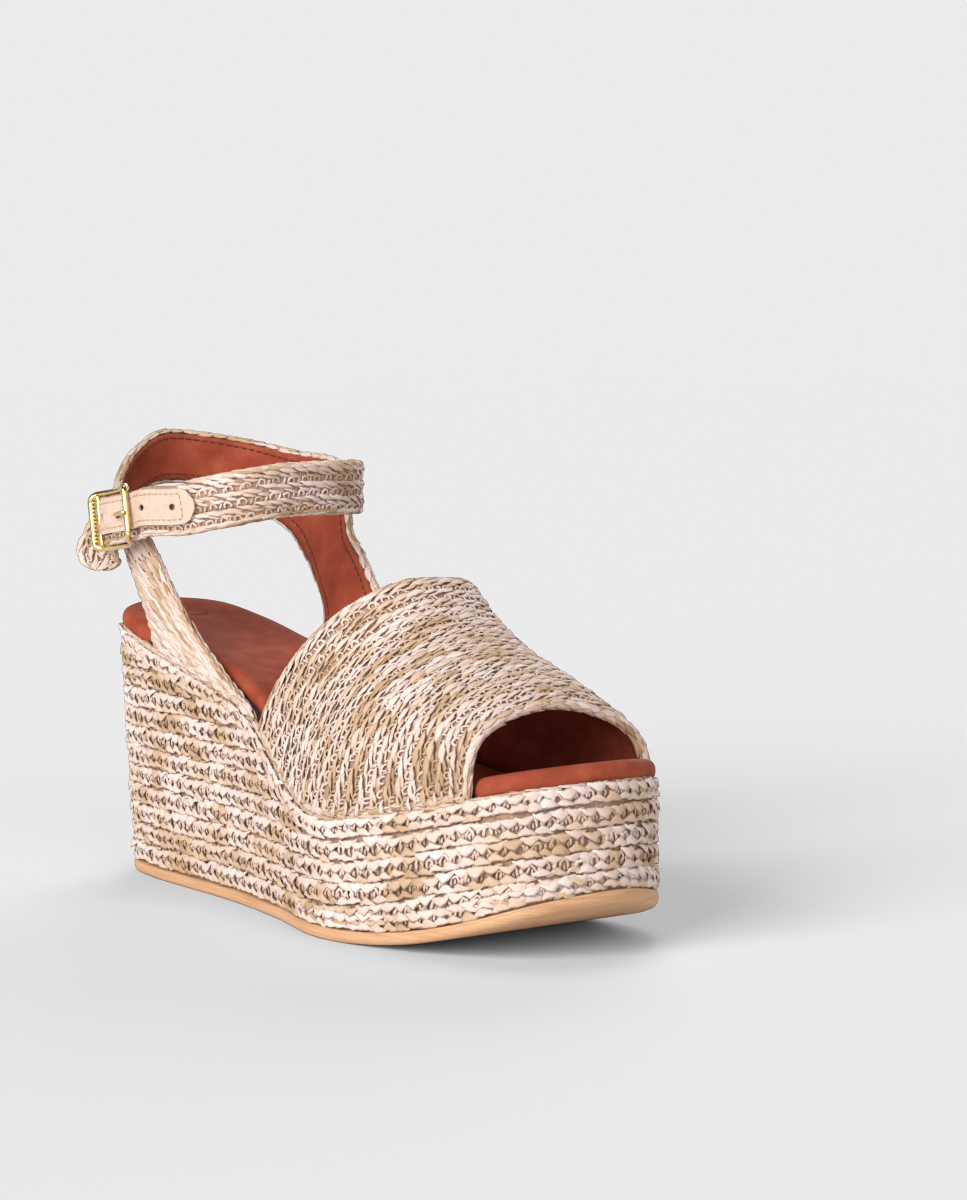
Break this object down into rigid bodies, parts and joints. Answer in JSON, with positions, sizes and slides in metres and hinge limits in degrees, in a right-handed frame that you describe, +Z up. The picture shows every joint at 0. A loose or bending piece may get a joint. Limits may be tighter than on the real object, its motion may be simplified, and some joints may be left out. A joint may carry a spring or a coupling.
{
  "type": "wedge sandal",
  "caption": "Open-toe platform wedge sandal in knitted raffia with a closed vamp, padded leather footbed and buckled ankle strap, right foot.",
  "frame": {"origin": "on the floor, under the middle of the sandal's bounding box", "axes": "+Z up, the toe points to -Y, the lateral (buckle) side is -X"},
  "size_m": [0.0908, 0.2412, 0.1463],
  "materials": {
    "raffia": "knitted flat paper-raffia yarn, mixed cream and tan",
    "lining_leather": "soft rust suede-finish leather",
    "rubber_sole": "matt tan moulded rubber",
    "cork": "pressed cork agglomerate",
    "canvas": "plain woven cotton",
    "insole_fibre": "pressed fibre board",
    "steel": "zinc-plated steel",
    "foam": "open-cell padding",
    "patch_leather": "smooth beige leather",
    "elastic": "ribbed woven elastic",
    "tape": "woven cotton tape",
    "gold_plate": "polished gold-tone plating"
  },
  "bodies": {
    "sandal": {"outsole": "rubber_sole", "wedge_cover": "raffia", "cover_backing": "canvas", "wedge_core": "cork", "insole_board": "insole_fibre", "steel_shank": "steel", "shank_rivet_1": "steel", "shank_rivet_2": "steel", "heel_nail_1": "steel", "heel_nail_2": "steel", "heel_nail_3": "steel", "heel_nail_4": "steel", "heel_nail_5": "steel", "sock_lining": "lining_leather", "footbed_foam": "foam", "vamp_lining": "lining_leather", "vamp_interlining": "canvas", "vamp_raffia": "raffia", "heel_strap_lining": "lining_leather", "heel_strap_tape": "tape", "heel_strap_raffia": "raffia", "elastic_loop": "elastic"},
    "ankle_strap": {"ankle_strap_tape": "tape", "ankle_strap_lining": "lining_leather", "ankle_strap_raffia": "raffia", "strap_hole_patch": "patch_leather"},
    "buckle_frame": {"buckle_frame": "gold_plate"},
    "buckle_prong": {"buckle_prong": "gold_plate"}
  },
  "joints": [
    {"name": "ankle_strap_swing", "type": "hinge", "parent": "sandal", "child": "ankle_strap", "pos_m": [0.03706, 0.05584, 0.13], "axis": [0, 0, 1], "range_deg": [0, 70], "deforming": ["ankle_strap_lining", "ankle_strap_raffia", "strap_hole_patch"]},
    {"name": "buckle_rock", "type": "hinge", "parent": "sandal", "child": "buckle_frame", "pos_m": [-0.03617, 0.07887, 0.121], "axis": [0.0141, 0.1861, 0.9824], "range_deg": [-12, 12]},
    {"name": "prong_swing", "type": "hinge", "parent": "buckle_frame", "child": "buckle_prong", "pos_m": [-0.03617, 0.07887, 0.121], "axis": [-0.0141, -0.1861, -0.9824], "range_deg": [0, 110]}
  ]
}
